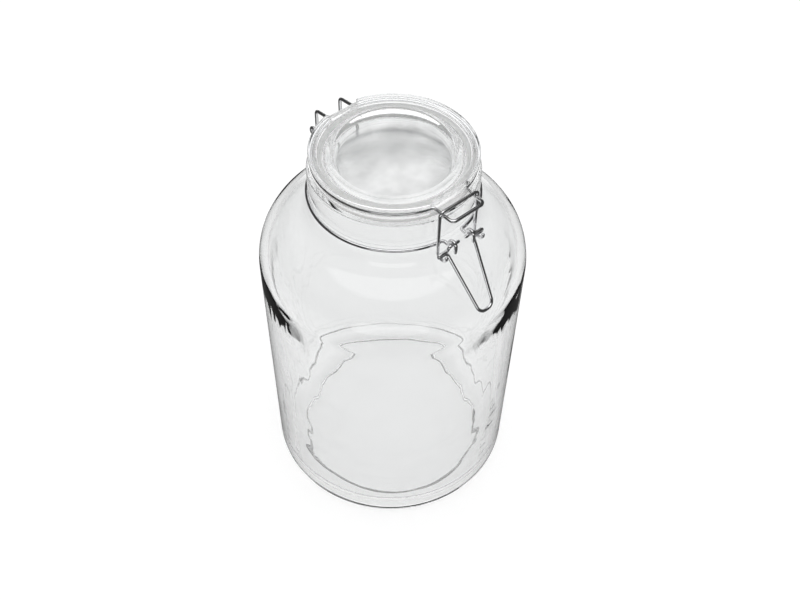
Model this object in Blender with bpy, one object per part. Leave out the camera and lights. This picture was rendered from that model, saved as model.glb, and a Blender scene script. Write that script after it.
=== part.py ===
# Clip-top storage jar: clear glass jar and lid, sealing ring, and a bent-wire hinge and latch.
# Metres, +Z up. The origin is the centre of the base, the latch faces -Y and the hinge +Y.

import math

import bmesh
import bpy
from mathutils import Quaternion, Vector

# Resolution
RING_STEPS = 56          # facets round the glass
WIRE_SIDES = 8           # facets round a wire
ARC_STEP = math.radians(24)   # largest turn between two points of a wire's bend
HOOK_STEP = math.radians(28)  # the same in a hook
RING_STEP = math.radians(7)   # the same in a wire ring
SHARP = math.radians(35)      # edges sharper than this stay crisp
MERGE = 1e-6             # points closer than this are one
GAP = 0.0003             # clearance between neighbours

# Jar body
BODY_R = 0.0885
WALL = 0.004
HEEL_R = 0.014           # heel's reach inwards
HEEL_Z = 0.0108          # heel's height
FOOT_IN_R = 0.070        # inner edge of the ring that the jar stands on
PUSH_UP = 0.006          # hollow under the middle of the base
PUSH_UP_EDGE = 0.0045    # and at the hollow's edge
PUSH_UP_R = 0.067
BASE_T = 0.0055          # glass at the middle of the base
FLOOR_FALL = 0.002       # how far the inside floor falls from its middle to its edge
FLOOR_ROUND = 0.020      # radius of the inside corner
SHOULDER_Z = 0.2001      # where the straight side ends
SHOULDER_R = 0.0408      # radius of the shoulder's round
SHOULDER_TURN = math.radians(68.8)
NECK_R = 0.0522
NECK_IN_R = 0.0455
MOUTH_R = 0.0445
MOUTH_ROUND = 0.0006
MOUTH_DEPTH = 0.009      # height of the straight mouth
BEAD_R = 0.0535
BEAD_ROUND = 0.0014
BEAD_SLOPE = 0.0015      # height of the slope under the bead
RIM_Z = 0.2787           # the jar's rim, under the sealing ring

# Wire
WIRE_R = 0.0011
NECK_WIRE_R = 0.0012
NECK_RING_R = 0.0539
NECK_RING_Z = 0.2588
GROOVE_GAP = 0.0004
GROOVE_R = NECK_RING_R - NECK_WIRE_R - GROOVE_GAP
GROOVE_HALF = 2 * NECK_WIRE_R

# Lid
LID_R = 0.05195
LID_Z = 0.291
LID_ROUND = 0.0012
LID_RING_R = 0.0506
LID_RING_Z = 0.2863
LID_GROOVE_R = LID_RING_R - WIRE_R - GAP
LID_GROOVE_HALF = WIRE_R + GAP
FLANGE_Z = 0.2826        # underside of the lid's edge
FLANGE_ROUND = 0.0006
RIM_IN_R = 0.0470        # inner edge of the raised rim
RIM_ROUND = 0.0008
RIM_SLOPE = 0.0014       # reach of the slope inside the rim
BAND_Z = 0.2884          # flat band inside the rim
RIDGE_OUT = 0.0040       # the low ridge round the well: outer foot, crest and inner foot,
RIDGE_TOP = 0.0022       # measured from the well's edge
RIDGE_IN = 0.0006
RIDGE_HIGH = 0.0006
WELL_R = 0.0372
WELL_Z = 0.2815          # floor of the well
WELL_EDGE = 0.0012       # drop of the well's rounded edge
WELL_ROUND = 0.0018
PLUG_R = 0.0425
PLUG_Z = 0.2762          # underside of the lid's middle
PLUG_ROUND = 0.0040
NOTCH_OUT = 0.0479       # how far out the glass reaches in a notch
FRONT_NOTCH_HALF = 0.0152
REAR_NOTCH_HALF = 0.0122
CUT_SPARE = 0.004        # how far a cutter stands proud of the glass

# Sealing ring
SEAL_IN_R = 0.0438
SEAL_OUT_R = 0.0506
SEAL_ROUND = 0.0006

# Bend radii of the wires, to their middle
FOLD = 0.0012            # a wire folded back on itself
TIGHT = 0.0014
SNUG = 0.0018
EASY = 0.0022
WIDE = 0.0030
TIP_BEND = 0.0050
RUN_ON = 0.0030          # how far before a bend the wire leaves its ring

# Front latch: positions are (out from the axis, height)
TONGUE_HALF = 0.0124
TONGUE_OUT = 0.0650
PIVOT = (0.0615, 0.2616)
CRANK = 0.0044
CRANK_TURN = math.radians(-100)
PIN = (PIVOT[0] + CRANK * math.cos(CRANK_TURN), PIVOT[1] + CRANK * math.sin(CRANK_TURN))
STRAND = 0.00125         # half the distance between the folded pin's two strands
HOOK_R = 0.0038
LINK_HALF = 0.0149
LINK_BAR_Z = LID_RING_Z + 2 * WIRE_R + GAP
EAR_HALF = 0.0072
EAR_R = WIRE_R + NECK_WIRE_R + GAP
EAR_TAIL = 0.0050
PIVOT_END = 0.0022
CRANK_HALF = 0.0104
PIN_END = 0.0176
LEG_HALF = 0.0108
TIP = (0.0873, 0.2207)
TIP_HALF = 0.0054
LINK_HOOK_OPEN = math.radians(20)

# Rear hinge
HINGE = (0.0640, 0.2685)
ARM_HALF = 0.0095
ARM_Z = 0.2842
HINGE_EAR_HALF = 0.0123
HINGE_PIN_END = 0.0142
HINGE_EAR_TURN = math.radians(315)


def clear_scene():
    for old in list(bpy.data.objects):
        bpy.data.objects.remove(old, do_unlink=True)


def material(name, colour, roughness, metallic=0.0, transmission=0.0):
    made = bpy.data.materials.new(name)
    made.use_nodes = True
    shader = made.node_tree.nodes["Principled BSDF"]
    shader.inputs["Base Color"].default_value = (*colour, 1.0)
    shader.inputs["Roughness"].default_value = roughness
    shader.inputs["Metallic"].default_value = metallic
    shader.inputs["Transmission Weight"].default_value = transmission
    shader.inputs["IOR"].default_value = 1.5
    return made


def add_object(name, mesh, finish, parent=None):
    mesh.shade_smooth()
    mesh.set_sharp_from_angle(angle=SHARP)
    made = bpy.data.objects.new(name, mesh)
    bpy.context.scene.collection.objects.link(made)
    if finish:
        mesh.materials.append(finish)
    if parent:
        made.parent = parent
        made.matrix_parent_inverse = parent.matrix_world.inverted()
    return made


def add_axis(name, out, height):
    """An empty on a joint's axis; out is measured towards -Y."""
    made = bpy.data.objects.new(name, None)
    bpy.context.scene.collection.objects.link(made)
    made.location = (0.0, -out, height)
    bpy.context.view_layer.update()
    return made


def arc(centre, radius, start, end, steps, squash=1.0):
    """Points of an arc in the (r, z) plane; squash scales its height."""
    points = []
    for i in range(steps + 1):
        turn = math.radians(start + (end - start) * i / steps)
        points.append((centre[0] + radius * math.cos(turn),
                       centre[1] + radius * squash * math.sin(turn)))
    return points


def crowned(radius, middle, edge, steps=2):
    """Points of a shallow dome from the axis outwards."""
    return [(radius * i / steps, middle + (edge - middle) * (i / steps) ** 2) for i in range(steps + 1)]


def turned(name, profile, closed=False):
    """A solid of revolution about Z from (r, z) points."""
    bm = bmesh.new()
    verts = [bm.verts.new((r, 0.0, z)) for r, z in profile]
    pairs = list(zip(verts, verts[1:]))
    if closed:
        pairs.append((verts[-1], verts[0]))
    edges = [bm.edges.new(pair) for pair in pairs]
    bmesh.ops.spin(bm, geom=verts + edges, cent=(0, 0, 0), axis=(0, 0, 1),
                   angle=math.tau, steps=RING_STEPS, use_merge=True)
    bmesh.ops.remove_doubles(bm, verts=bm.verts, dist=MERGE)
    bmesh.ops.recalc_face_normals(bm, faces=bm.faces)
    mesh = bpy.data.meshes.new(name)
    bm.to_mesh(mesh)
    bm.free()
    return mesh


def rounded(corners):
    """A route through (point, bend radius) corners, with each bend an arc."""
    route = [corners[0][0]]
    for (before, _), (here, radius), (after, _) in zip(corners, corners[1:], corners[2:]):
        back = (before - here).normalized()
        ahead = (after - here).normalized()
        opening = back.angle(ahead)
        if radius == 0.0 or opening > math.radians(179):
            route.append(here)
            continue
        reach = radius / math.tan(opening / 2)
        middle = here + (back + ahead).normalized() * (radius / math.sin(opening / 2))
        first = here + back * reach - middle
        turn = math.pi - opening
        hinge = first.cross(here + ahead * reach - middle).normalized()
        steps = max(2, math.ceil(turn / ARC_STEP))
        for i in range(steps + 1):
            route.append(middle + Quaternion(hinge, turn * i / steps) @ first)
    route.append(corners[-1][0])
    return route


def wire(name, route, radius):
    """A round wire with flat ends along a route of points."""
    bm = bmesh.new()
    rings = []
    side = None
    for i, here in enumerate(route):
        before = route[max(i - 1, 0)]
        after = route[min(i + 1, len(route) - 1)]
        incoming = (here - before).normalized() if i else (after - here).normalized()
        outgoing = (after - here).normalized() if i < len(route) - 1 else incoming
        ahead = (incoming + outgoing).normalized()
        if side is None:
            side = ahead.orthogonal().normalized()
        side = (side - ahead * side.dot(ahead)).normalized()
        other = ahead.cross(side)
        ring = []
        for k in range(WIRE_SIDES):
            turn = math.tau * (k + 0.5) / WIRE_SIDES
            ring.append(bm.verts.new(here + (side * math.cos(turn) + other * math.sin(turn)) * radius))
        rings.append(ring)
    for ring, following in zip(rings, rings[1:]):
        for k in range(WIRE_SIDES):
            j = (k + 1) % WIRE_SIDES
            bm.faces.new((ring[k], ring[j], following[j], following[k]))
    bm.faces.new(list(reversed(rings[0])))
    bm.faces.new(rings[-1])
    bmesh.ops.recalc_face_normals(bm, faces=bm.faces)
    mesh = bpy.data.meshes.new(name)
    bm.to_mesh(mesh)
    bm.free()
    return mesh


def along(radius, height, start, end):
    """Points of a level arc about the jar's axis; angles from -Y, towards +X."""
    points = []
    steps = math.ceil(abs(end - start) / RING_STEP)
    for i in range(steps + 1):
        turn = start + (end - start) * i / steps
        points.append(Vector((radius * math.sin(turn), -radius * math.cos(turn), height)))
    return points


def hook(across, centre, radius, start, end):
    """An arc in the plane X = across, about a centre (out, height)."""
    points = []
    steps = math.ceil(abs(end - start) / HOOK_STEP)
    for i in range(steps + 1):
        turn = start + (end - start) * i / steps
        points.append(front(across, centre[0] + radius * math.cos(turn),
                            centre[1] + radius * math.sin(turn)))
    return points


def mirrored(half):
    """A route that ends at X = 0, carried on along its mirror image."""
    return half + [Vector((-p.x, p.y, p.z)) for p in reversed(half[:-1])]


def front(across, out, height):
    return Vector((across, -out, height))


def rear(across, out, height):
    return Vector((across, out, height))


def shoulder(offset, neck_r):
    """The round shoulder and the hollow curve into the neck, from the bottom up."""
    fall = 1 - math.cos(SHOULDER_TURN)
    round_r = SHOULDER_R - offset
    join = (BODY_R - SHOULDER_R + round_r * math.cos(SHOULDER_TURN),
            SHOULDER_Z + round_r * math.sin(SHOULDER_TURN))
    hollow_r = (join[0] - neck_r) / fall
    turn = math.degrees(SHOULDER_TURN)
    lower = arc((BODY_R - SHOULDER_R, SHOULDER_Z), round_r, 0, turn, 7)
    centre = (neck_r + hollow_r, join[1] + hollow_r * math.sin(SHOULDER_TURN))
    upper = arc(centre, hollow_r, 180 + turn, 180, 4)
    return lower + upper[1:]


def jar_profile():
    """From the middle of the hollow under the base, up the outside, and down the inside."""
    under = crowned(PUSH_UP_R, PUSH_UP, PUSH_UP_EDGE) + [(FOOT_IN_R, 0.0)]
    heel = arc((BODY_R - HEEL_R, HEEL_Z), HEEL_R, -90, 0, 5, squash=HEEL_Z / HEEL_R)
    bead_low = NECK_RING_Z + GROOVE_HALF
    bead = [(GROOVE_R, NECK_RING_Z - GROOVE_HALF), (GROOVE_R, bead_low), (BEAD_R, bead_low + BEAD_SLOPE)]
    lip = arc((BEAD_R - BEAD_ROUND, RIM_Z - BEAD_ROUND), BEAD_ROUND, 0, 90, 3)
    mouth = [(MOUTH_R + MOUTH_ROUND, RIM_Z), (MOUTH_R, RIM_Z - MOUTH_ROUND), (MOUTH_R, RIM_Z - MOUTH_DEPTH)]
    inside = list(reversed(shoulder(WALL, NECK_IN_R)))
    floor_r = BODY_R - WALL - FLOOR_ROUND
    floor_z = PUSH_UP + BASE_T
    corner = arc((floor_r, floor_z - FLOOR_FALL + FLOOR_ROUND), FLOOR_ROUND, 0, -90, 4)
    floor = list(reversed(crowned(floor_r, floor_z, floor_z - FLOOR_FALL)))
    return under + heel + shoulder(0.0, NECK_R) + bead + lip + mouth + inside + corner + floor[1:]


def lid_profile():
    """From the middle of the underside outwards, round the edge, and back to the well's floor."""
    plug = [(0.0, PLUG_Z)]
    plug += arc((PLUG_R - PLUG_ROUND, PLUG_Z + PLUG_ROUND), PLUG_ROUND, -90, 0, 3)
    plug.append((PLUG_R, FLANGE_Z))
    low = LID_RING_Z - LID_GROOVE_HALF
    high = LID_RING_Z + LID_GROOVE_HALF
    edge = [(LID_R - FLANGE_ROUND, FLANGE_Z), (LID_R, FLANGE_Z + FLANGE_ROUND),
            (LID_R, low), (LID_GROOVE_R, low), (LID_GROOVE_R, high), (LID_R, high)]
    crown = arc((LID_R - LID_ROUND, LID_Z - LID_ROUND), LID_ROUND, 0, 90, 3)
    rim = [(RIM_IN_R + RIM_ROUND, LID_Z), (RIM_IN_R, LID_Z - RIM_ROUND), (RIM_IN_R - RIM_SLOPE, BAND_Z),
           (WELL_R + RIDGE_OUT, BAND_Z), (WELL_R + RIDGE_TOP, BAND_Z + RIDGE_HIGH),
           (WELL_R + RIDGE_IN, BAND_Z)]
    inner = WELL_R - WELL_EDGE
    well = [(WELL_R, BAND_Z - WELL_EDGE), (inner, WELL_Z + WELL_ROUND), (inner - WELL_ROUND, WELL_Z),
            (0.0, WELL_Z)]
    return plug + edge + crown + rim + well


def seal_profile():
    low = RIM_Z + GAP
    high = FLANGE_Z - GAP
    inner = SEAL_OUT_R - SEAL_ROUND
    return [(SEAL_IN_R, low), (inner, low), (SEAL_OUT_R, low + SEAL_ROUND),
            (SEAL_OUT_R, high - SEAL_ROUND), (inner, high), (SEAL_IN_R, high)]


def cut(target, size, centre):
    """Cuts a box out of the target."""
    bm = bmesh.new()
    bmesh.ops.create_cube(bm, size=1.0)
    bmesh.ops.scale(bm, vec=size, verts=bm.verts)
    bmesh.ops.translate(bm, vec=centre, verts=bm.verts)
    mesh = bpy.data.meshes.new("notch_cutter")
    bm.to_mesh(mesh)
    bm.free()
    apply_boolean(target, mesh, "DIFFERENCE")


def apply_boolean(target, mesh, operation):
    """Joins a mesh to the target, or cuts it out."""
    tool = bpy.data.objects.new(mesh.name, mesh)
    bpy.context.scene.collection.objects.link(tool)
    tool.hide_render = True
    tool.display_type = "WIRE"
    boolean = target.modifiers.new(mesh.name, "BOOLEAN")
    boolean.object = tool
    boolean.operation = operation
    boolean.solver = "EXACT"


def make_glass(glass, lid_axis):
    add_object("jar_body", turned("jar_body", jar_profile()), glass)
    lid = add_object("lid", turned("lid", lid_profile()), glass, lid_axis)
    depth = LID_R - NOTCH_OUT + CUT_SPARE
    height = LID_Z - FLANGE_Z + CUT_SPARE
    middle = (LID_Z + FLANGE_Z) / 2
    for sign, half in ((-1, FRONT_NOTCH_HALF), (1, REAR_NOTCH_HALF)):
        cut(lid, (2 * half, depth, height), (0.0, sign * (NOTCH_OUT + depth / 2), middle))


def make_neck_wire(steel):
    """A ring round the neck with an open hook at each side of the latch, and two ears at the rear."""
    leave = math.asin((EAR_HALF + RUN_ON) / NECK_RING_R)
    ring = along(NECK_RING_R, NECK_RING_Z, leave, math.pi)
    out, height = PIVOT
    hold = hook(EAR_HALF, PIVOT, EAR_R, 0.0, math.pi)
    bend = rounded([
        (hold[-1], 0.0),
        (front(EAR_HALF, out - EAR_R, NECK_RING_Z), SNUG),
        (front(EAR_HALF, NECK_RING_R * math.cos(leave), NECK_RING_Z), EASY),
        (ring[0], 0.0)])
    tail = front(EAR_HALF, out + EAR_R, height - EAR_TAIL)
    route = mirrored([tail] + hold + bend[1:] + ring[1:])
    made = add_object("neck_wire", wire("neck_wire", route, NECK_WIRE_R), steel)
    for sign in (-1, 1):
        apply_boolean(made, wire("hinge_ear", hinge_ear_route(sign * HINGE_EAR_HALF), WIRE_R), "UNION")


def hinge_ear_route(across):
    """From the neck ring up to the hinge, and round it."""
    out, height = HINGE
    root_out = math.sqrt(NECK_RING_R ** 2 - HINGE_EAR_HALF ** 2)
    run = math.hypot(out - root_out, height - NECK_RING_Z)
    slope = math.atan2(height - NECK_RING_Z, out - root_out)
    start = slope + math.asin(EAR_R / run) + math.pi / 2
    loop = hook(across, HINGE, EAR_R, start, start - HINGE_EAR_TURN)
    return [rear(across, root_out, NECK_RING_Z)] + [rear(across, -p.y, p.z) for p in loop]


def make_lid_wire(steel, lid_axis):
    """A ring round the lid with the hinge's arms at the rear and the latch's tongue at the front."""
    hinge_out, hinge_z = HINGE
    leave_rear = math.pi - math.asin((ARM_HALF + RUN_ON) / LID_RING_R)
    leave_front = math.asin((TONGUE_HALF + RUN_ON) / LID_RING_R)
    ring = along(LID_RING_R, LID_RING_Z, leave_rear, leave_front)
    arm = rounded([
        (rear(HINGE_PIN_END, hinge_out, hinge_z), 0.0),
        (rear(ARM_HALF, hinge_out, hinge_z), TIGHT),
        (rear(ARM_HALF, hinge_out, ARM_Z), WIDE),
        (rear(ARM_HALF, math.sqrt(LID_RING_R ** 2 - ARM_HALF ** 2), LID_RING_Z), SNUG),
        (ring[0], 0.0)])
    tongue = rounded([
        (ring[-1], 0.0),
        (front(TONGUE_HALF, math.sqrt(LID_RING_R ** 2 - TONGUE_HALF ** 2), LID_RING_Z), SNUG),
        (front(TONGUE_HALF, TONGUE_OUT, LID_RING_Z), WIDE),
        (front(0.0, TONGUE_OUT, LID_RING_Z), 0.0)])
    route = mirrored(arm[:-1] + ring[:-1] + tongue)
    add_object("lid_wire", wire("lid_wire", route, WIRE_R), steel, lid_axis)


def make_lever(steel, axis):
    """From one pivot end out to the crank, folded back as the link's pin, down to the tip, and back."""
    upper, lower = [(PIVOT[0] + r * math.cos(CRANK_TURN), PIVOT[1] + r * math.sin(CRANK_TURN))
                    for r in (CRANK - STRAND, CRANK + STRAND)]
    half = rounded([
        (front(PIVOT_END, *PIVOT), 0.0),
        (front(CRANK_HALF, *PIVOT), TIGHT),
        (front(CRANK_HALF, *upper), TIGHT),
        (front(PIN_END, *upper), FOLD),
        (front(PIN_END, *lower), FOLD),
        (front(LEG_HALF, *lower), EASY),
        (front(TIP_HALF, *TIP), TIP_BEND),
        (front(0.0, *TIP), 0.0)])
    add_object("latch_lever", wire("latch_lever", mirrored(half), WIRE_R), steel, axis)


def make_link(steel, axis):
    """A hook round each end of the pin, joined by the bar that bears on the tongue."""
    leg_out = PIN[0] - HOOK_R
    hold = hook(LINK_HALF, PIN, HOOK_R, LINK_HOOK_OPEN, -math.pi)
    leg = rounded([
        (hold[-1], 0.0),
        (front(LINK_HALF, leg_out, LINK_BAR_Z), WIDE),
        (front(0.0, leg_out, LINK_BAR_Z), 0.0)])
    add_object("latch_link", wire("latch_link", mirrored(hold[:-1] + leg), WIRE_R), steel, axis)


def build():
    clear_scene()
    glass = material("clear_glass", (0.96, 0.97, 0.97), 0.02, transmission=1.0)
    rubber = material("clear_seal", (0.88, 0.89, 0.88), 0.35, transmission=0.6)
    steel = material("bright_steel", (0.62, 0.62, 0.63), 0.18, metallic=1.0)
    lid_axis = add_axis("lid_axis", -HINGE[0], HINGE[1])
    lever_axis = add_axis("lever_axis", *PIVOT)
    link_axis = add_axis("link_axis", *PIN)
    make_glass(glass, lid_axis)
    add_object("seal", turned("seal", seal_profile(), closed=True), rubber, lid_axis)
    make_neck_wire(steel)
    make_lid_wire(steel, lid_axis)
    make_lever(steel, lever_axis)
    make_link(steel, link_axis)


build()
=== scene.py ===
import math

import bmesh
import bpy
from mathutils import Matrix, Quaternion, Vector, noise


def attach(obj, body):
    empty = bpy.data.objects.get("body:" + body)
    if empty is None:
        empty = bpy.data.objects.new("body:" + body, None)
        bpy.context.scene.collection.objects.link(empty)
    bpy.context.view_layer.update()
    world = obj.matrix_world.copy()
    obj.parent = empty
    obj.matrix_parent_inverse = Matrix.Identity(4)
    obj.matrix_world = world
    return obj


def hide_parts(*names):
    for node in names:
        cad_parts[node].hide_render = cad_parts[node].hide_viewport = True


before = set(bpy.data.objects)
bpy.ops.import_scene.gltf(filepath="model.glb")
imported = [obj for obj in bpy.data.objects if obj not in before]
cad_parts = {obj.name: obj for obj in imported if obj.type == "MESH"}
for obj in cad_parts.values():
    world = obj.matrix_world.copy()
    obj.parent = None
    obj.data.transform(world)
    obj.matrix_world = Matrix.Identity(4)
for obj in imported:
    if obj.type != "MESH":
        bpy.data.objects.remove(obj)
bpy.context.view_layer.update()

# The camera, from the photograph's outline: position, the point it looks at, and its roll.
CAMERA_AT = Vector((-0.3000, -0.3414, 0.6947))
CAMERA_AIM = Vector((0.0041, -0.0037, 0.1494))
CAMERA_ROLL = math.radians(1.32)
CAMERA_LENS = 45.32
SENSOR = 36.0
AHEAD = Vector((CAMERA_AIM.x - CAMERA_AT.x, CAMERA_AIM.y - CAMERA_AT.y, 0.0)).normalized()
ACROSS = Vector((AHEAD.y, -AHEAD.x, 0.0))
UP = Vector((0.0, 0.0, 1.0))

# Studio seen through the glass: even light, brighter overhead, and flags low at both sides.
# Pairs are the start and the end of a soft change; heights and sides are parts of a unit direction.
STUDIO_LIGHT = 0.92
OVERHEAD = (0.35, 0.65)
OVERHEAD_LIGHT = 1.4
FLAG_LIGHT = 0.55
FLAG_SIDE = (0.45, 0.75)
FLAG_HEIGHT = (0.20, 0.45)
ROOM_LIGHT = 1.0

# Studio mirrored in glass and steel: dark, with a panel overhead and windows ahead and behind
MIRRORED_SHADE = 0.05
PANEL_LIGHT = 1.6
PANEL_HEIGHT = (0.83, 0.90)
WINDOW_TOP = (0.22, 0.30)
WINDOW_SIDE = (0.86, 0.92)

# Floor
FLOOR_HALF = 3.0
FLOOR_GREY = 0.34
FLOOR_GLOW = 0.72
FLOOR_LIT = (0.45, 0.75)
FLOOR_FAR = 0.85
FLOOR_MIRRORED = 0.06
FLOOR_ROUGH = 0.9

# Glass, rubber and steel
GLASS_IOR = 1.5
JAR_CLEAR = (0.970, 0.974, 0.974)
# Painted shade: from the heights below, the glass is tinted this greyer colour, darkening the shoulder and
# the neck.
JAR_PAINTED_SHADE = (0.84, 0.845, 0.845)
JAR_SHADE_HEIGHTS = (0.185, 0.235)
JAR_ROUGH = 0.012
JAR_GRAIN = 30.0
JAR_GRAIN_DEPTH = 0.0004
LID_CLEAR = (0.985, 0.99, 0.99)
# Painted shade: inside the well the lid is tinted towards this grey, in random cloudy patches.
LID_CLOUDY_SHADE = (0.62, 0.625, 0.625)
LID_POLISHED = 0.004
LID_DULL = 0.22
LID_PATCHES = 55.0
LID_PATCH_EDGES = (0.30, 0.70)
LID_GRAIN = 420.0
LID_GRAIN_DEPTH = 0.00012
STEEL_DARK = (0.72, 0.72, 0.73)
STEEL_LIGHT = (0.88, 0.88, 0.89)
STEEL_ROUGH = (0.05, 0.16)
STEEL_GRAIN = 900.0
STEEL_GRAIN_DEPTH = 0.00004
SEAL_WHITE = (0.99, 0.99, 0.985)
SEAL_CLEAR = 0.1
SEAL_IOR = 1.42
SEAL_ROUGH = (0.22, 0.36)
SEAL_GRAIN = 600.0
SEAL_GRAIN_DEPTH = 0.00005

# Resolution of the finished surfaces
RING_STEPS = 240
LID_STEPS = 480
WIRE_SIDES = 20
ARC_STEP = math.radians(7)
SHARP = math.radians(38)
STRAIGHT = math.radians(179)

# Jar body, in metres. The wall is thick low down and thinner below the shoulder.
BODY_R = 0.0885
WALL = 0.0055
WALL_LOW = 0.0066
THIN_FROM = 0.171
THIN_TO = 0.1995
HEEL_R = 0.014
HEEL_Z = 0.0108
FOOT_IN_R = 0.070
PUSH_UP = 0.006
PUSH_UP_EDGE = 0.0045
PUSH_UP_R = 0.067
PUSH_UP_LIP = ((0.0007, 0.0004), (0.0012, 0.0012))
FOOT_LIP = ((0.0008, 0.0012), (0.0003, 0.0003), (-0.0006, 0.0))
BASE_T = 0.0055
FLOOR_FALL = 0.002
FLOOR_ROUND = 0.013
SHOULDER_Z = 0.2001
SHOULDER_R = 0.0408
SHOULDER_TURN = math.radians(68.8)
NECK_R = 0.0522
NECK_IN_R = 0.0455
MOUTH_R = 0.0445
MOUTH_ROUND = 0.0008
MOUTH_FALL = ((0.0, 0.004), (0.0, 0.009), (0.0006, 0.014))
BEAD_R = 0.0535
BEAD_ROUND = 0.0014
BEAD_EASE = ((0.0002, 0.0012), (0.0, 0.0025))
BEAD_STRAIGHT = (0.004, 0.002)
RIM_Z = 0.2787
GAP = 0.0003

# Unevenness of the jar's inside. Waves are (frequency, height) pairs.
SIDES_FROM = (0.35, 0.70)
EDGES_FROM = (0.70, 0.92)
EVEN_FROM = 0.060
SAG_WAVES = ((3.1, 0.009), (8.0, 0.004))
SAG_FADE = 0.006
SWELL_ROUND = 2.2
SWELL_UP = 26.0
SWELL_WAVES = ((1.0, 0.00030), (2.3, 0.00010))
STREAK_ROUND = 8.0
STREAK_UP = 14.0
STREAK = 0.00080
FINE_ROUND = 22.0
FINE_UP = 60.0
FINE = 0.00005
STREAK_FADE = 0.03
KEPT_FROM = (0.050, 0.070)

# Wires
WIRE_R = 0.0011
NECK_WIRE_R = 0.0012
NECK_RING_R = 0.0539
NECK_RING_Z = 0.2588
GROOVE_R = NECK_RING_R - NECK_WIRE_R - 0.0004
GROOVE_HALF = 0.0024
GROOVE_EASE = (0.0006, 0.0004)
LID_RING_R = 0.0506
LID_RING_Z = 0.2863

# Lid
LID_R = 0.05195
LID_Z = 0.291
LID_ROUND = 0.0012
LID_GROOVE_R = LID_RING_R - WIRE_R - GAP
LID_GROOVE_HALF = WIRE_R + GAP
FLANGE_Z = 0.2826
RIM_IN_R = 0.0470
BAND_Z = 0.2884
WELL_R = 0.0372
WELL_Z = 0.2815
PLUG_R = 0.0425
PLUG_Z = 0.2762
PLUG_ROUND = 0.0035
PLUG_MIDDLE = (0.012, 0.026)
PLUG_SIDE = ((0.0, PLUG_Z + 0.0050), (0.0001, FLANGE_Z - 0.0006), (0.0006, FLANGE_Z))
PLUG_DULL = (0.001, 0.003)
FLANGE_MARGIN = 0.0030
FLANGE_ROUND = 0.0008
GROOVE_ROUND = 0.0007
GROOVE_EDGE = (0.0004, 0.0005)
GROOVE_STEP = 0.0001
RIM_TOP = (0.0026, 0.0012)
RIM_OVER = 0.0006
RIM_ROUND = 0.0007
BAND_OUTER = ((-0.0010, 0.0005), (-0.0018, 0.0001), (-0.0030, 0.0))
BAND_INNER = ((0.0044, 0.0), (0.0038, 0.0002), (0.0030, 0.0005), (0.0022, 0.0006),
              (0.0014, 0.0004), (0.0006, -0.0001))
WELL_SIDE = ((0.0, 0.0012), (0.0006, 0.0030))
WELL_ROUND = 0.0020
WELL_FOOT = 0.0012
WELL_STEP = 0.0002
WELL_FADE = (0.002, 0.001)
NOTCH_OUT = 0.0479
NOTCH_SPARE = 0.006
NOTCH_BEVEL = 0.0012
FRONT_NOTCH_HALF = 0.0152
REAR_NOTCH_HALF = 0.0122
BEAD_LINES = (RIM_IN_R + 0.0004, WELL_R + 0.0023)
BEAD_LINE_HALF = 0.0005
BEAD_LINE_DEPTH = 0.00025
SEAL_IN_R = 0.0438
SEAL_OUT_R = 0.0506
SEAL_ROUND = 0.0009
SEAL_FLAT = 0.0005
SEAL_EASE = 0.0003

# Bend radii of the wires, and how far to the side of a bend a ring starts
BEND = 0.0018
WIDE_BEND = 0.0022
PIN_BEND = 0.0013
ARM_BEND = 0.0032
TONGUE_BEND = 0.0030
CRANK_BEND = 0.0014
STRAND_BEND = 0.0012
TIP_BEND = 0.0050
LINK_BEND = 0.0030
BEND_ROOM = 0.003
HINGE_EYE_TURN = math.radians(315)
HINGE_EYE_STEPS = 40

# Front latch: positions are (out from the axis, height)
TONGUE_HALF = 0.0124
TONGUE_OUT = 0.0650
PIVOT = (0.0615, 0.2616)
CRANK = 0.0044
CRANK_TURN = math.radians(-100)
PIN = (PIVOT[0] + CRANK * math.cos(CRANK_TURN), PIVOT[1] + CRANK * math.sin(CRANK_TURN))
STRAND = 0.00125
HOOK_R = 0.0038
LINK_HALF = 0.0149
LINK_BAR_Z = LID_RING_Z + 2 * WIRE_R + GAP
EAR_HALF = 0.0072
EAR_R = WIRE_R + NECK_WIRE_R + GAP
EAR_TAIL = 0.0050
PIVOT_END = 0.0022
CRANK_HALF = 0.0104
PIN_END = 0.0176
LEG_HALF = 0.0108
TIP = (0.0873, 0.2207)
TIP_HALF = 0.0054

# Rear hinge
HINGE = (0.0640, 0.2685)
ARM_HALF = 0.0095
ARM_Z = 0.2842
HINGE_EAR_HALF = 0.0123
HINGE_PIN_END = 0.0142


def arc(centre, radius, start, end, steps, squash=1.0):
    """Points of an arc in the (r, z) plane; squash scales its height."""
    points = []
    for i in range(steps + 1):
        turn = math.radians(start + (end - start) * i / steps)
        points.append((centre[0] + radius * math.cos(turn),
                       centre[1] + radius * squash * math.sin(turn)))
    return points


def crowned(radius, middle, edge, steps=6):
    """Points of a shallow dome from the axis outwards."""
    return [(radius * i / steps, middle + (edge - middle) * (i / steps) ** 2) for i in range(steps + 1)]


def line(start, end, steps):
    """Points from start up to, but not at, end."""
    return [tuple(a + (b - a) * i / steps for a, b in zip(start, end)) for i in range(steps)]


def share(value, start, stop):
    """0 before start, 1 after stop, and a straight change between."""
    return min(1.0, max(0.0, (value - start) / (stop - start)))


def smooth(mesh):
    """Soft shading, with the edges past the sharp angle kept hard."""
    mesh.shade_smooth()
    mesh.set_sharp_from_angle(angle=SHARP)


def add_object(name, mesh, body, replaced):
    smooth(mesh)
    made = bpy.data.objects.new(name, mesh)
    bpy.context.scene.collection.objects.link(made)
    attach(made, body)
    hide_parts(replaced)
    return made


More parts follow.
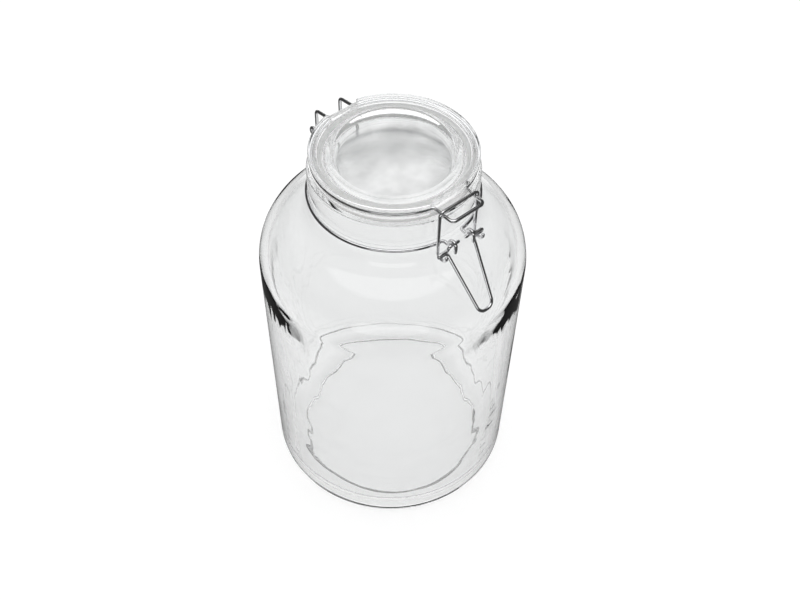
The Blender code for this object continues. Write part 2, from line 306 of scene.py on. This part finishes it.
def turned(name, profile, closed=False, wave=None, steps=RING_STEPS):
    """A solid of revolution about Z from (r, z) points. wave(r, z, turn, index) gives the new (r, z)."""
    bm = bmesh.new()
    rings = []
    for index, (r, z) in enumerate(profile):
        if r < 1e-6:
            rings.append([bm.verts.new((0.0, 0.0, z))])
            continue
        ring = []
        for k in range(steps):
            turn = math.tau * k / steps
            rr, zz = wave(r, z, turn, index) if wave else (r, z)
            ring.append(bm.verts.new((rr * math.sin(turn), -rr * math.cos(turn), zz)))
        rings.append(ring)
    pairs = list(zip(rings, rings[1:]))
    if closed:
        pairs.append((rings[-1], rings[0]))
    for lower, upper in pairs:
        for k in range(steps):
            j = (k + 1) % steps
            if len(lower) == 1:
                bm.faces.new((lower[0], upper[k], upper[j]))
            elif len(upper) == 1:
                bm.faces.new((lower[k], upper[0], lower[j]))
            else:
                bm.faces.new((lower[k], upper[k], upper[j], lower[j]))
    bmesh.ops.recalc_face_normals(bm, faces=bm.faces)
    mesh = bpy.data.meshes.new(name)
    bm.to_mesh(mesh)
    bm.free()
    return mesh


def rounded(corners):
    """A route through (point, bend radius) corners, with each bend an arc."""
    route = [corners[0][0]]
    for (before, _), (here, radius), (after, _) in zip(corners, corners[1:], corners[2:]):
        back = (before - here).normalized()
        ahead = (after - here).normalized()
        opening = back.angle(ahead)
        if radius == 0.0 or opening > STRAIGHT:
            route.append(here)
            continue
        reach = radius / math.tan(opening / 2)
        middle = here + (back + ahead).normalized() * (radius / math.sin(opening / 2))
        first = here + back * reach - middle
        turn = math.pi - opening
        hinge = first.cross(here + ahead * reach - middle).normalized()
        steps = max(3, math.ceil(turn / ARC_STEP))
        for i in range(steps + 1):
            route.append(middle + Quaternion(hinge, turn * i / steps) @ first)
    route.append(corners[-1][0])
    return route


def tidy_route(route, step=0.0015):
    """The route without doubled points, and with points added on long straight runs."""
    kept = [route[0]]
    for here in route[1:]:
        span = (here - kept[-1]).length
        if span < 1e-5:
            continue
        start = kept[-1]
        pieces = max(1, round(span / step))
        for i in range(1, pieces + 1):
            kept.append(start.lerp(here, i / pieces))
    return kept


def wire(name, route, radius):
    """A round wire with slightly chamfered ends along a route of points."""
    route = tidy_route(route)
    bm = bmesh.new()
    rings = []
    side = None
    last = len(route) - 1
    for i, here in enumerate(route):
        incoming = (here - route[max(i - 1, 0)]).normalized() if i else (route[1] - here).normalized()
        outgoing = (route[min(i + 1, last)] - here).normalized() if i < last else incoming
        ahead = (incoming + outgoing).normalized()
        if side is None:
            side = ahead.orthogonal().normalized()
        side = (side - ahead * side.dot(ahead)).normalized()
        other = ahead.cross(side)
        width = radius * (0.82 if i in (0, last) else 1.0)
        ring = []
        for k in range(WIRE_SIDES):
            turn = math.tau * k / WIRE_SIDES
            ring.append(bm.verts.new(here + (side * math.cos(turn) + other * math.sin(turn)) * width))
        rings.append(ring)
    for ring, following in zip(rings, rings[1:]):
        for k in range(WIRE_SIDES):
            j = (k + 1) % WIRE_SIDES
            bm.faces.new((ring[k], ring[j], following[j], following[k]))
    bm.faces.new(list(reversed(rings[0])))
    bm.faces.new(rings[-1])
    bmesh.ops.recalc_face_normals(bm, faces=bm.faces)
    mesh = bpy.data.meshes.new(name)
    bm.to_mesh(mesh)
    bm.free()
    return mesh


def along(radius, height, start, end, steps):
    """Points of a level arc about the jar's axis; angles from -Y, towards +X."""
    points = []
    for i in range(steps + 1):
        turn = start + (end - start) * i / steps
        points.append(Vector((radius * math.sin(turn), -radius * math.cos(turn), height)))
    return points


def mirrored(half):
    """A route that ends at X = 0, carried on along its mirror image."""
    return half + [Vector((-p.x, p.y, p.z)) for p in reversed(half[:-1])]


def front(across, out, height):
    return Vector((across, -out, height))


def rear(across, out, height):
    return Vector((across, out, height))


def shoulder(offset, neck_r):
    """The round shoulder and the hollow curve into the neck, from the bottom up."""
    fall = 1 - math.cos(SHOULDER_TURN)
    round_r = SHOULDER_R - offset
    join = (BODY_R - SHOULDER_R + round_r * math.cos(SHOULDER_TURN),
            SHOULDER_Z + round_r * math.sin(SHOULDER_TURN))
    hollow_r = (join[0] - neck_r) / fall
    turn = math.degrees(SHOULDER_TURN)
    lower = arc((BODY_R - SHOULDER_R, SHOULDER_Z), round_r, 0, turn, 26)
    centre = (neck_r + hollow_r, join[1] + hollow_r * math.sin(SHOULDER_TURN))
    upper = arc(centre, hollow_r, 180 + turn, 180, 14)
    return lower + upper[1:]


def inner_r(height):
    """The straight wall's inside: thick below, thinner just under the shoulder."""
    risen = share(height, THIN_FROM, THIN_TO)
    return BODY_R - WALL_LOW + (WALL_LOW - WALL) * risen * risen * (3 - 2 * risen)


def jar_profile():
    """The outside from the middle of the base up, over the rim, and down the inside."""
    heel = arc((BODY_R - HEEL_R, HEEL_Z), HEEL_R, -90, 0, 16, squash=HEEL_Z / HEEL_R)
    under = crowned(PUSH_UP_R, PUSH_UP, PUSH_UP_EDGE)
    under += [(PUSH_UP_R + out, PUSH_UP_EDGE - down) for out, down in PUSH_UP_LIP]
    under += [(FOOT_IN_R - inward, height) for inward, height in FOOT_LIP]
    side = line((BODY_R, HEEL_Z), (BODY_R, SHOULDER_Z), 40)[1:]
    bead_low = NECK_RING_Z + GROOVE_HALF
    groove = [(GROOVE_R, NECK_RING_Z - GROOVE_HALF), (GROOVE_R, bead_low - GROOVE_EASE[0]),
              (GROOVE_R + GROOVE_EASE[1], bead_low + GROOVE_EASE[1])]
    bead = [(BEAD_R - inward, bead_low + up) for inward, up in BEAD_EASE]
    bead += line((BEAD_R, bead_low + BEAD_STRAIGHT[0]), (BEAD_R, RIM_Z - BEAD_STRAIGHT[1]), 4)
    lip = arc((BEAD_R - BEAD_ROUND, RIM_Z - BEAD_ROUND), BEAD_ROUND, 0, 90, 8)
    mouth = [(MOUTH_R + 1.5 * MOUTH_ROUND, RIM_Z)]
    mouth += arc((MOUTH_R + MOUTH_ROUND, RIM_Z - MOUTH_ROUND), MOUTH_ROUND, 90, 180, 4)
    mouth += [(MOUTH_R + out, RIM_Z - down) for out, down in MOUTH_FALL]
    inside = list(reversed(shoulder(WALL, NECK_IN_R)))
    floor_r = BODY_R - WALL_LOW - FLOOR_ROUND
    floor_z = PUSH_UP + BASE_T
    corner = arc((floor_r, floor_z - FLOOR_FALL + FLOOR_ROUND), FLOOR_ROUND, 0, -90, 20)
    wall = [(inner_r(z), z) for _, z in line((0.0, SHOULDER_Z), (0.0, corner[0][1]), 90)[1:]]
    floor = list(reversed(crowned(floor_r, floor_z, floor_z - FLOOR_FALL)))
    outside = under + heel[1:] + side + shoulder(0.0, NECK_R) + groove + bead + lip + mouth
    return outside, inside + wall + corner + floor[1:]


def ripple(spot, waves):
    """Noise summed over (frequency, height) waves."""
    return sum(noise.noise(spot * frequency) * height for frequency, height in waves)


def wavy_spot(around, z, round_by, up_by):
    """A place in the noise: how fast it changes round the jar, and how fast upwards."""
    return around * round_by + Vector((0.0, 0.0, z * up_by))


def make_jar():
    outside, inside = jar_profile()
    first_inside = len(outside)

    def wave(r, z, turn, index):
        """The inside of blown glass is a little uneven; the outside follows its mould."""
        if index < first_inside:
            return r, z
        around = Vector((math.sin(turn), -math.cos(turn), 0.0))
        sideways = abs(around.dot(ACROSS))
        beside = share(sideways, *SIDES_FROM)
        below = SHOULDER_Z - z
        if EVEN_FROM < z < SHOULDER_Z:
            sudden = inner_r(z + ripple(around, SAG_WAVES) * share(below, 0.0, SAG_FADE))
            gentle = BODY_R - WALL_LOW + (WALL_LOW - WALL) * share(z, EVEN_FROM, SHOULDER_Z)
            r = gentle + (sudden - gentle) * beside
        swell = ripple(wavy_spot(around, z, SWELL_ROUND, SWELL_UP), SWELL_WAVES)
        straight = share(below, 0.0, STREAK_FADE)
        edge = share(sideways, *EDGES_FROM) * straight
        streak = noise.noise(wavy_spot(around, z, STREAK_ROUND, STREAK_UP)) * STREAK * edge
        streak += noise.noise(wavy_spot(around, z, FINE_ROUND, FINE_UP)) * FINE * beside * straight
        return r + (swell + streak) * share(r, *KEPT_FROM), z

    mesh = turned("jar_glass", outside + inside, wave=wave)
    return add_object("jar_glass", mesh, "jar", "jar_body")


def lid_profile():
    """From the middle of the underside outwards, round the edge, and back to the well's floor."""
    plug = [(0.0, PLUG_Z)] + [(r, PLUG_Z) for r in PLUG_MIDDLE]
    plug += arc((PLUG_R - PLUG_ROUND, PLUG_Z + PLUG_ROUND), PLUG_ROUND, -90, 0, 8)
    plug += [(PLUG_R + out, z) for out, z in PLUG_SIDE]
    edge = [(PLUG_R + FLANGE_MARGIN, FLANGE_Z), (LID_R - FLANGE_MARGIN, FLANGE_Z)]
    edge += arc((LID_R - FLANGE_ROUND, FLANGE_Z + FLANGE_ROUND), FLANGE_ROUND, -90, 0, 5)
    low = LID_RING_Z - LID_GROOVE_HALF
    high = LID_RING_Z + LID_GROOVE_HALF
    inward, past = GROOVE_EDGE
    groove_r = LID_GROOVE_R + GROOVE_ROUND
    edge += [(LID_R, low - past), (LID_R - inward, low), (groove_r, low + GROOVE_STEP)]
    edge += arc((groove_r, low + GROOVE_ROUND + GROOVE_STEP), GROOVE_ROUND, -90, -180, 3)
    edge += arc((groove_r, high - GROOVE_ROUND - GROOVE_STEP), GROOVE_ROUND, 180, 90, 3)
    edge += [(LID_R - inward, high), (LID_R, high + past)]
    crown = arc((LID_R - LID_ROUND, LID_Z - LID_ROUND), LID_ROUND, 0, 90, 8)
    rim = [(LID_R - RIM_TOP[0], LID_Z), (RIM_IN_R + RIM_TOP[1], LID_Z)]
    rim += arc((RIM_IN_R + RIM_OVER, LID_Z - RIM_ROUND), RIM_ROUND, 80, 160, 4)
    rim += [(RIM_IN_R + out, BAND_Z + up) for out, up in BAND_OUTER]
    rim += [(WELL_R + out, BAND_Z + up) for out, up in BAND_INNER]
    well = [(WELL_R - inward, BAND_Z - down) for inward, down in WELL_SIDE]
    well += [(WELL_R - WELL_FOOT, WELL_Z + WELL_ROUND + WELL_STEP)]
    well += arc((WELL_R - WELL_FOOT - WELL_ROUND, WELL_Z + WELL_ROUND), WELL_ROUND, 0, -90, 7)
    well += [(r, WELL_Z) for r in reversed(PLUG_MIDDLE)] + [(0.0, WELL_Z)]
    return plug + edge + crown + rim + well


def box_mesh(name, size, centre, bevel):
    bm = bmesh.new()
    bmesh.ops.create_cube(bm, size=1.0)
    bmesh.ops.scale(bm, vec=size, verts=bm.verts)
    bmesh.ops.translate(bm, vec=centre, verts=bm.verts)
    upright = [e for e in bm.edges if abs(e.verts[0].co.z - e.verts[1].co.z) > size[2] / 2]
    bmesh.ops.bevel(bm, geom=upright, offset=bevel, segments=5, affect="EDGES")
    mesh = bpy.data.meshes.new(name)
    bm.to_mesh(mesh)
    bm.free()
    return mesh


def apply_boolean(target, mesh, operation):
    """Joins the tool to the target, or cuts it out, and keeps only the result."""
    tool = bpy.data.objects.new(mesh.name, mesh)
    bpy.context.scene.collection.objects.link(tool)
    boolean = target.modifiers.new(mesh.name, "BOOLEAN")
    boolean.object = tool
    boolean.operation = operation
    boolean.solver = "EXACT"
    bpy.context.view_layer.update()
    evaluated = target.evaluated_get(bpy.context.evaluated_depsgraph_get())
    result = bpy.data.meshes.new_from_object(evaluated)
    target.modifiers.clear()
    target.data = result
    bpy.data.objects.remove(tool)


def beaded(r, z, turn, index):
    """The lid's two fine beaded lines: every other step round them stands a little higher."""
    on_line = z > BAND_Z and any(abs(r - line_r) < BEAD_LINE_HALF for line_r in BEAD_LINES)
    raised = on_line and round(turn / math.tau * LID_STEPS) % 2
    return r, z - (BEAD_LINE_DEPTH if raised else 0.0)


def make_lid():
    mesh = turned("lid_glass", lid_profile(), wave=beaded, steps=LID_STEPS)
    lid = add_object("lid_glass", mesh, "lid", "lid")
    depth = LID_R - NOTCH_OUT + NOTCH_SPARE
    height = LID_Z - FLANGE_Z + NOTCH_SPARE
    middle = (LID_Z + FLANGE_Z) / 2
    for sign, half in ((-1, FRONT_NOTCH_HALF), (1, REAR_NOTCH_HALF)):
        centre = (0.0, sign * (NOTCH_OUT + depth / 2), middle)
        notch = box_mesh("notch", (2 * half, depth, height), centre, NOTCH_BEVEL)
        apply_boolean(lid, notch, "DIFFERENCE")
    smooth(lid.data)
    return lid


def make_seal():
    low = RIM_Z + GAP
    high = FLANGE_Z - GAP
    round_r = SEAL_OUT_R - SEAL_ROUND
    profile = line((SEAL_IN_R + SEAL_EASE, low), (round_r, low), 6)
    profile += arc((round_r, low + SEAL_ROUND), SEAL_ROUND, -90, 0, 5)
    profile += arc((round_r, high - SEAL_ROUND), SEAL_ROUND, 0, 90, 5)
    profile += line((round_r - SEAL_FLAT, high), (SEAL_IN_R, high), 6)
    profile += [(SEAL_IN_R, high), (SEAL_IN_R, low + SEAL_EASE)]
    return add_object("seal_ring", turned("seal_ring", profile, closed=True), "lid", "seal")


def hook_points(half, centre, radius, start, end, step):
    """An arc of a wire's bend in the plane X = half, about a (out, height) centre."""
    count = max(2, round(abs(end - start) / step))
    turns = [math.radians(start + (end - start) * i / count) for i in range(count + 1)]
    return [front(half, centre[0] + radius * math.cos(t), centre[1] + radius * math.sin(t)) for t in turns]


def make_neck_wire():
    leave = math.asin((EAR_HALF + BEND_ROOM) / NECK_RING_R)
    ring = along(NECK_RING_R, NECK_RING_Z, leave, math.pi, 110)
    out, height = PIVOT
    hook = hook_points(EAR_HALF, PIVOT, EAR_R, 0, 180, 9)
    bend = rounded([
        (hook[-1], 0.0),
        (front(EAR_HALF, out - EAR_R, NECK_RING_Z), BEND),
        (front(EAR_HALF, NECK_RING_R * math.cos(leave), NECK_RING_Z), WIDE_BEND),
        (ring[0], 0.0)])
    route = mirrored([front(EAR_HALF, out + EAR_R, height - EAR_TAIL)] + hook + bend[1:] + ring[1:])
    mesh = wire("neck_ring", route, NECK_WIRE_R)
    made = add_object("neck_ring", mesh, "jar", "neck_wire")
    out, height = HINGE
    root_out = math.sqrt(NECK_RING_R ** 2 - HINGE_EAR_HALF ** 2)
    run = math.hypot(out - root_out, height - NECK_RING_Z)
    slope = math.atan2(height - NECK_RING_Z, out - root_out)
    start = slope + math.asin(EAR_R / run) + math.pi / 2
    for sign in (-1, 1):
        loop = [rear(sign * HINGE_EAR_HALF, root_out, NECK_RING_Z)]
        for i in range(HINGE_EYE_STEPS + 1):
            turn = start - HINGE_EYE_TURN * i / HINGE_EYE_STEPS
            loop.append(rear(sign * HINGE_EAR_HALF, out + EAR_R * math.cos(turn),
                             height + EAR_R * math.sin(turn)))
        apply_boolean(made, wire("hinge_ear", loop, WIRE_R), "UNION")
    smooth(made.data)
    return made


def make_lid_wire():
    hinge_out, hinge_z = HINGE
    leave_rear = math.pi - math.asin((ARM_HALF + BEND_ROOM) / LID_RING_R)
    leave_front = math.asin((TONGUE_HALF + BEND_ROOM) / LID_RING_R)
    ring = along(LID_RING_R, LID_RING_Z, leave_rear, leave_front, 100)
    arm = rounded([
        (rear(HINGE_PIN_END, hinge_out, hinge_z), 0.0),
        (rear(ARM_HALF, hinge_out, hinge_z), PIN_BEND),
        (rear(ARM_HALF, hinge_out, ARM_Z), ARM_BEND),
        (rear(ARM_HALF, math.sqrt(LID_RING_R ** 2 - ARM_HALF ** 2), LID_RING_Z), BEND),
        (ring[0], 0.0)])
    tongue = rounded([
        (ring[-1], 0.0),
        (front(TONGUE_HALF, math.sqrt(LID_RING_R ** 2 - TONGUE_HALF ** 2), LID_RING_Z), BEND),
        (front(TONGUE_HALF, TONGUE_OUT, LID_RING_Z), TONGUE_BEND),
        (front(0.0, TONGUE_OUT, LID_RING_Z), 0.0)])
    route = mirrored(arm[:-1] + ring[:-1] + tongue)
    return add_object("lid_ring", wire("lid_ring", route, WIRE_R), "lid", "lid_wire")


def make_lever():
    upper, lower = [(PIVOT[0] + r * math.cos(CRANK_TURN), PIVOT[1] + r * math.sin(CRANK_TURN))
                    for r in (CRANK - STRAND, CRANK + STRAND)]
    half = rounded([
        (front(PIVOT_END, *PIVOT), 0.0),
        (front(CRANK_HALF, *PIVOT), CRANK_BEND),
        (front(CRANK_HALF, *upper), CRANK_BEND),
        (front(PIN_END, *upper), STRAND_BEND),
        (front(PIN_END, *lower), STRAND_BEND),
        (front(LEG_HALF, *lower), WIDE_BEND),
        (front(TIP_HALF, *TIP), TIP_BEND),
        (front(0.0, *TIP), 0.0)])
    mesh = wire("lever_wire", mirrored(half), WIRE_R)
    return add_object("lever_wire", mesh, "lever", "latch_lever")


def make_link():
    out, height = PIN
    leg_out = out - HOOK_R
    hook = hook_points(LINK_HALF, PIN, HOOK_R, 20, -180, 8)
    leg = rounded([
        (hook[-1], 0.0),
        (front(LINK_HALF, leg_out, LINK_BAR_Z), LINK_BEND),
        (front(0.0, leg_out, LINK_BAR_Z), 0.0)])
    mesh = wire("link_wire", mirrored(hook[:-1] + leg), WIRE_R)
    return add_object("link_wire", mesh, "link", "latch_link")


def shader_of(name):
    made = bpy.data.materials.new(name)
    made.use_nodes = True
    nodes = made.node_tree.nodes
    return made, nodes, made.node_tree.links, nodes["Principled BSDF"]


class Graph:
    """A material's or the world's node tree, with the few sums that the studio needs."""

    def __init__(self, tree):
        self.nodes = tree.nodes
        self.links = tree.links

    def towards(self, vector, direction):
        dot = self.nodes.new("ShaderNodeVectorMath")
        dot.operation = "DOT_PRODUCT"
        dot.inputs[1].default_value = direction
        self.links.new(vector, dot.inputs[0])
        return dot.outputs["Value"]

    def sum(self, operation, first, second=None):
        made = self.nodes.new("ShaderNodeMath")
        made.operation = operation
        self.links.new(first, made.inputs[0])
        if second is not None:
            self.links.new(second, made.inputs[1])
        return made.outputs["Value"]

    def step(self, value, start, stop, low=0.0, high=1.0):
        """low before start, high after stop, and a smooth change between."""
        made = self.nodes.new("ShaderNodeMapRange")
        made.interpolation_type = "SMOOTHSTEP"
        for name, number in (("From Min", start), ("From Max", stop), ("To Min", low), ("To Max", high)):
            made.inputs[name].default_value = number
        self.links.new(value, made.inputs["Value"])
        return made.outputs["Result"]

    def mix(self, factor, first, second):
        made = self.nodes.new("ShaderNodeMix")
        self.links.new(factor, made.inputs["Factor"])
        for name, value in (("A", first), ("B", second)):
            if isinstance(value, float):
                made.inputs[name].default_value = value
            else:
                self.links.new(value, made.inputs[name])
        return made.outputs["Result"]


def noise_node(nodes, links, scale, detail):
    place = nodes.new("ShaderNodeTexCoord")
    grain = nodes.new("ShaderNodeTexNoise")
    grain.inputs["Scale"].default_value = scale
    grain.inputs["Detail"].default_value = detail
    links.new(place.outputs["Object"], grain.inputs["Vector"])
    return grain


def ramp(nodes, links, source, low, high):
    spread = nodes.new("ShaderNodeMapRange")
    spread.inputs["To Min"].default_value = low
    spread.inputs["To Max"].default_value = high
    links.new(source, spread.inputs["Value"])
    return spread.outputs["Result"]


def bump(nodes, links, source, strength, distance, shader):
    raised = nodes.new("ShaderNodeBump")
    raised.inputs["Strength"].default_value = strength
    raised.inputs["Distance"].default_value = distance
    links.new(source, raised.inputs["Height"])
    links.new(raised.outputs["Normal"], shader.inputs["Normal"])


def jar_material():
    """Clear, with painted shade: above the shoulder the glass is tinted greyer, so the shoulder and the
    neck render darker.
    """
    made, nodes, links, shader = shader_of("jar_clear")
    shader.inputs["Transmission Weight"].default_value = 1.0
    shader.inputs["IOR"].default_value = GLASS_IOR
    graph = Graph(made.node_tree)
    place = nodes.new("ShaderNodeTexCoord").outputs["Object"]
    # Painted shade: the glass turns greyer going up past the shoulder.
    shade_share = graph.step(graph.towards(place, UP), *JAR_SHADE_HEIGHTS)
    tone = nodes.new("ShaderNodeMix")
    tone.data_type = "RGBA"
    links.new(shade_share, tone.inputs[0])
    tone.inputs[6].default_value = (*JAR_CLEAR, 1.0)
    tone.inputs[7].default_value = (*JAR_PAINTED_SHADE, 1.0)
    links.new(tone.outputs[2], shader.inputs["Base Color"])
    grain = noise_node(nodes, links, JAR_GRAIN, 2.0)
    links.new(ramp(nodes, links, grain.outputs["Fac"], 0.0, JAR_ROUGH), shader.inputs["Roughness"])
    bump(nodes, links, grain.outputs["Fac"], 0.4, JAR_GRAIN_DEPTH, shader)
    return made


def lid_material():
    """Clear at the rim. The well is tinted grey in random cloudy patches, a painted shade, with a dull
    underside.
    """
    made, nodes, links, shader = shader_of("lid_clear")
    shader.inputs["Transmission Weight"].default_value = 1.0
    shader.inputs["IOR"].default_value = GLASS_IOR
    graph = Graph(made.node_tree)
    place = nodes.new("ShaderNodeTexCoord").outputs["Object"]
    flat = nodes.new("ShaderNodeVectorMath")
    flat.operation = "MULTIPLY"
    flat.inputs[1].default_value = (1.0, 1.0, 0.0)
    reach = nodes.new("ShaderNodeVectorMath")
    reach.operation = "LENGTH"
    links.new(place, flat.inputs[0])
    links.new(flat.outputs["Vector"], reach.inputs[0])
    well = graph.step(reach.outputs["Value"], WELL_R - WELL_FADE[0], WELL_R + WELL_FADE[1], 1.0, 0.0)
    height = graph.towards(place, UP)
    below = graph.step(height, PLUG_Z + PLUG_DULL[0], PLUG_Z + PLUG_DULL[1], 1.0, 0.0)
    # Painted shade in the well, broken into random cloudy patches.
    shade_cloud = noise_node(nodes, links, LID_PATCHES, 5.0)
    tone = nodes.new("ShaderNodeValToRGB")
    tone.color_ramp.elements[0].position = LID_PATCH_EDGES[0]
    tone.color_ramp.elements[0].color = (*LID_CLOUDY_SHADE, 1.0)
    tone.color_ramp.elements[1].position = LID_PATCH_EDGES[1]
    tone.color_ramp.elements[1].color = (*LID_CLEAR, 1.0)
    links.new(shade_cloud.outputs["Fac"], tone.inputs["Fac"])
    colour = nodes.new("ShaderNodeMix")
    colour.data_type = "RGBA"
    links.new(well, colour.inputs[0])
    colour.inputs[6].default_value = (*LID_CLEAR, 1.0)
    links.new(tone.outputs["Color"], colour.inputs[7])
    links.new(colour.outputs[2], shader.inputs["Base Color"])
    links.new(graph.mix(below, LID_POLISHED, LID_DULL), shader.inputs["Roughness"])
    grain = noise_node(nodes, links, LID_GRAIN, 3.0)
    bump(nodes, links, grain.outputs["Fac"], 0.5, LID_GRAIN_DEPTH, shader)
    return made


def steel_material():
    made, nodes, links, shader = shader_of("bright_wire")
    shader.inputs["Metallic"].default_value = 1.0
    grain = noise_node(nodes, links, STEEL_GRAIN, 3.0)
    tone = nodes.new("ShaderNodeValToRGB")
    tone.color_ramp.elements[0].color = (*STEEL_DARK, 1.0)
    tone.color_ramp.elements[1].color = (*STEEL_LIGHT, 1.0)
    links.new(grain.outputs["Fac"], tone.inputs["Fac"])
    links.new(tone.outputs["Color"], shader.inputs["Base Color"])
    links.new(ramp(nodes, links, grain.outputs["Fac"], *STEEL_ROUGH), shader.inputs["Roughness"])
    bump(nodes, links, grain.outputs["Fac"], 0.15, STEEL_GRAIN_DEPTH, shader)
    return made


def seal_material():
    made, nodes, links, shader = shader_of("seal_rubber")
    shader.inputs["Base Color"].default_value = (*SEAL_WHITE, 1.0)
    shader.inputs["Transmission Weight"].default_value = SEAL_CLEAR
    shader.inputs["IOR"].default_value = SEAL_IOR
    grain = noise_node(nodes, links, SEAL_GRAIN, 2.0)
    links.new(ramp(nodes, links, grain.outputs["Fac"], *SEAL_ROUGH), shader.inputs["Roughness"])
    bump(nodes, links, grain.outputs["Fac"], 0.2, SEAL_GRAIN_DEPTH, shader)
    return made


def paint(objects, finish):
    for piece in objects:
        piece.data.materials.clear()
        piece.data.materials.append(finish)


def make_stage():
    """A white floor, a little dimmer far off, and dark to mirrored rays."""
    bm = bmesh.new()
    bmesh.ops.create_grid(bm, x_segments=1, y_segments=1, size=FLOOR_HALF)
    mesh = bpy.data.meshes.new("floor")
    bm.to_mesh(mesh)
    bm.free()
    floor = bpy.data.objects.new("floor", mesh)
    bpy.context.scene.collection.objects.link(floor)
    made, nodes, links, shader = shader_of("floor_white")
    graph = Graph(made.node_tree)
    place = nodes.new("ShaderNodeTexCoord").outputs["Object"]
    beyond = graph.step(graph.towards(place, AHEAD), *FLOOR_LIT)
    beside = graph.step(graph.sum("ABSOLUTE", graph.towards(place, ACROSS)), *FLOOR_LIT)
    path = nodes.new("ShaderNodeLightPath")
    lit = graph.mix(graph.sum("MAXIMUM", beyond, beside), 1.0, FLOOR_FAR)
    lit = graph.sum("MULTIPLY", lit, graph.mix(path.outputs["Is Reflection Ray"], 1.0, FLOOR_MIRRORED))
    share = graph.sum("MAXIMUM", lit, path.outputs["Is Camera Ray"])
    links.new(graph.mix(share, 0.0, FLOOR_GREY), shader.inputs["Base Color"])
    links.new(graph.mix(share, 0.0, FLOOR_GLOW), shader.inputs["Emission Strength"])
    shader.inputs["Emission Color"].default_value = (1.0, 1.0, 1.0, 1.0)
    shader.inputs["Roughness"].default_value = FLOOR_ROUGH
    shader.inputs["Specular IOR Level"].default_value = 0.0
    mesh.materials.append(made)


def make_world():
    """A pale studio for what shows through the glass, and light panels in the dark for reflections."""
    world = bpy.data.worlds.new("studio")
    bpy.context.scene.world = world
    world.use_nodes = True
    graph = Graph(world.node_tree)
    view = graph.nodes.new("ShaderNodeTexCoord").outputs["Generated"]
    height = graph.towards(view, UP)
    beside = graph.step(graph.sum("ABSOLUTE", graph.towards(view, ACROSS)), *FLAG_SIDE)
    flags = graph.sum("MULTIPLY", beside, graph.step(height, *FLAG_HEIGHT, 1.0, 0.0))
    soft_box = graph.step(height, *OVERHEAD, STUDIO_LIGHT, OVERHEAD_LIGHT)
    through = graph.mix(flags, soft_box, FLAG_LIGHT)
    overhead = graph.step(height, *PANEL_HEIGHT)
    low_down = graph.step(height, *WINDOW_TOP, 1.0, 0.0)
    ends = graph.step(graph.sum("ABSOLUTE", graph.towards(view, AHEAD)), *WINDOW_SIDE)
    panels = graph.sum("MAXIMUM", overhead, graph.sum("MULTIPLY", ends, low_down))
    mirrored_light = graph.mix(panels, MIRRORED_SHADE, PANEL_LIGHT)
    path = graph.nodes.new("ShaderNodeLightPath")
    seen = graph.mix(path.outputs["Is Reflection Ray"], through, mirrored_light)
    plain = graph.sum("MAXIMUM", path.outputs["Is Diffuse Ray"], path.outputs["Is Camera Ray"])
    sky = graph.nodes["Background"]
    sky.inputs["Color"].default_value = (1.0, 1.0, 1.0, 1.0)
    graph.links.new(graph.mix(plain, seen, ROOM_LIGHT), sky.inputs["Strength"])


def make_camera():
    data = bpy.data.cameras.new("camera")
    data.lens = CAMERA_LENS
    data.sensor_width = SENSOR
    camera = bpy.data.objects.new("camera", data)
    bpy.context.scene.collection.objects.link(camera)
    turn = (CAMERA_AIM - CAMERA_AT).to_track_quat("-Z", "Y").to_matrix().to_4x4()
    camera.matrix_world = Matrix.Translation(CAMERA_AT) @ turn @ Matrix.Rotation(CAMERA_ROLL, 4, "Z")
    bpy.context.scene.camera = camera


def set_light_paths():
    """Plain colours, and bounces few enough that light trapped in the wall leaves dark streaks."""
    view = bpy.context.scene.view_settings
    view.view_transform = "Standard"
    view.look = "None"
    cycles = bpy.context.scene.cycles
    cycles.max_bounces = 40
    cycles.transmission_bounces = 24
    cycles.glossy_bounces = 18
    cycles.diffuse_bounces = 4
    cycles.transparent_max_bounces = 24


jar = make_jar()
lid = make_lid()
seal = make_seal()
wires = [make_neck_wire(), make_lid_wire(), make_lever(), make_link()]
paint([jar], jar_material())
paint([lid], lid_material())
paint([seal], seal_material())
paint(wires, steel_material())
make_stage()
make_world()
make_camera()
set_light_paths()
